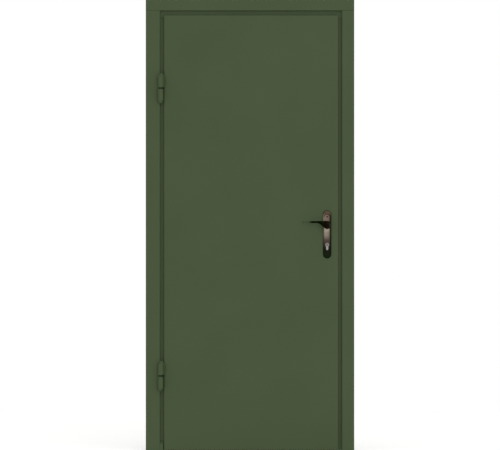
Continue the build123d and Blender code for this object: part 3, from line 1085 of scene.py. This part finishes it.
lever_patina, tree, shader = new_finish("antique_copper_dark")
place = add_node(tree, "TexCoord").outputs["Object"]
axes = add_node(tree, "SeparateXYZ", {"Vector": place})
wear = add_node(tree, "TexNoise", {"Vector": place, "Scale": 1 / wear_width, "Detail": 4.0})
on_crests = add_node(
    tree, "MapRange", {"Value": wear.outputs["Fac"], "From Min": 0.5, "From Max": 0.8}
)
crest_colour = add_node(
    tree,
    "MixRGB",
    {
        "Fac": on_crests.outputs["Result"],
        "Color1": linear(crest_dark),
        "Color2": linear(crest_warm),
    },
)
on_arm = add_node(
    tree,
    "MapRange",
    {
        "Value": axes.outputs["X"],
        "From Min": lever_high.x - arm_from,
        "From Max": lever_high.x - arm_full,
    },
)
arm_colour = add_node(
    tree,
    "MixRGB",
    {
        "Fac": on_arm.outputs["Result"],
        "Color1": crest_colour.outputs["Color"],
        "Color2": linear(arm_green),
    },
)
# A painted highlight on the hub's right end
on_hub_rim = add_node(
    tree,
    "MapRange",
    {
        "Value": axes.outputs["X"],
        "From Min": lever_high.x - rim_from,
        "From Max": lever_high.x,
    },
)
rim_colour = add_node(
    tree,
    "MixRGB",
    {
        "Fac": on_hub_rim.outputs["Result"],
        "Color1": arm_colour.outputs["Color"],
        "Color2": linear(hub_end_highlight),
    },
)
# The arm's tip: worn, and with a painted green reflection of the door
towards_tip = add_node(
    tree,
    "MapRange",
    {
        "Value": axes.outputs["X"],
        "From Min": lever_low.x + tip_from,
        "From Max": lever_low.x + tip_full,
    },
    interpolation_type="SMOOTHSTEP",
)
lever_colour = add_node(
    tree,
    "MixRGB",
    {
        "Fac": towards_tip.outputs["Result"],
        "Color1": rim_colour.outputs["Color"],
        "Color2": linear(tip_worn_and_lit),
    },
)
waxed = add_node(
    tree,
    "MapRange",
    {
        "Value": wear.outputs["Fac"],
        "To Min": waxed_roughness_low,
        "To Max": waxed_roughness_high,
    },
)
lever_skin = add_node(
    tree, "Bump", {"Height": wear.outputs["Fac"], "Distance": wear_depth, "Strength": 0.3}
)
tree.links.new(lever_colour.outputs["Color"], shader.inputs["Base Color"])
tree.links.new(waxed.outputs["Result"], shader.inputs["Roughness"])
tree.links.new(lever_skin.outputs["Normal"], shader.inputs["Normal"])
shader.inputs["Metallic"].default_value = 1.0
shader.inputs["Specular Tint"].default_value = linear(waxed_tint)

dress(lever_patina, "outside_lever", "inside_lever")

# Bright steel bar, ground lengthwise: clean grey and smooth, with fine lines along it
ground_steel = metal_finish(
    "ground_steel",
    dark="#8C8F90",
    pale="#B5B7B7",
    brush=(1.0, 0.1, 1.0),
    gloss=0.3,
    line_width=0.001,
)

dress(ground_steel, "spindle")


# Studio
# A pale floor, an even white surround and one large soft lamp from the upper right. The surround
# and the floor show white to the eye and to shiny metal, and the floor keeps the door's shadow.
floor_half = 4.0
floor_white = "#F2F2F0"
floor_to_room = 0.2
floor_to_eye = 0.42
surround_to_room = 0.635
surround_to_eye = 1.0
lamp_size = 15.0
lamp_power = 1120.0
lamp_place = (5.0, -22.0, 9.0)
lamp_aim = Vector((0, 0, 1.05))


def light_level(tree, to_room, to_eye):
    """The strength of a glow: one for what it lights, one for the eye, shiny metal and glass."""
    seen = add_node(tree, "LightPath")
    seen_or_shone = add_node(
        tree,
        "Math",
        {0: seen.outputs["Is Camera Ray"], 1: seen.outputs["Is Glossy Ray"]},
        operation="MAXIMUM",
    )
    seen_or_through = add_node(
        tree,
        "Math",
        {0: seen_or_shone.outputs["Value"], 1: seen.outputs["Is Transmission Ray"]},
        operation="MAXIMUM",
    )
    level = add_node(
        tree,
        "MapRange",
        {"Value": seen_or_through.outputs["Value"], "To Min": to_room, "To Max": to_eye},
    )
    return level.outputs["Result"]


shape = bmesh.new()
bmesh.ops.create_grid(shape, x_segments=1, y_segments=1, size=floor_half)
floor_mesh = bpy.data.meshes.new("floor")
shape.to_mesh(floor_mesh)
shape.free()
floor = bpy.data.objects.new("floor", floor_mesh)
bpy.context.scene.collection.objects.link(floor)

# Matt white board, faintly lit from within, so that it meets the surround without a line
pale_floor, tree, shader = new_finish("pale_studio_floor")
floor_glow = light_level(tree, floor_to_room, floor_to_eye)
tree.links.new(floor_glow, shader.inputs["Emission Strength"])
shader.inputs["Emission Color"].default_value = (1, 1, 1, 1)
shader.inputs["Base Color"].default_value = linear(floor_white)
shader.inputs["Roughness"].default_value = 0.9
shader.inputs["Specular IOR Level"].default_value = 0.1
floor_mesh.materials.append(pale_floor)

world = bpy.data.worlds.new("white_surround")
world.use_nodes = True
bpy.context.scene.world = world
tree = world.node_tree
surround = tree.nodes["Background"]
surround_glow = light_level(tree, surround_to_room, surround_to_eye)
tree.links.new(surround_glow, surround.inputs["Strength"])
surround.inputs["Color"].default_value = (1, 1, 1, 1)

lamp_data = bpy.data.lights.new("soft_lamp", "AREA")
lamp_data.shape = "SQUARE"
lamp_data.size = lamp_size
lamp_data.energy = lamp_power
lamp = bpy.data.objects.new("soft_lamp", lamp_data)
lamp.location = lamp_place
lamp.rotation_mode = "QUATERNION"
lamp.rotation_quaternion = (lamp.location - lamp_aim).to_track_quat("Z", "Y")
bpy.context.scene.collection.objects.link(lamp)

# The camera looks straight on from far off, so that the door fills the picture's height
picture_width = 500
picture_height = 450
shown_height = 2.094
camera_distance = 20.0
camera_reach = 100.0
door_face_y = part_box("leaf_outer_sheet")[0].y
camera_data = bpy.data.cameras.new("camera")
camera_data.sensor_width = 36.0
shown_width = shown_height * picture_width / picture_height
camera_data.lens = camera_data.sensor_width * camera_distance / shown_width
camera_data.clip_end = camera_reach
camera = bpy.data.objects.new("camera", camera_data)
camera.location = (0, door_face_y - camera_distance, cad_box[1][2] / 2)
camera.rotation_euler = (math.pi / 2, 0, 0)
bpy.context.scene.collection.objects.link(camera)
bpy.context.scene.camera = camera
bpy.context.scene.view_settings.view_transform = "Standard"
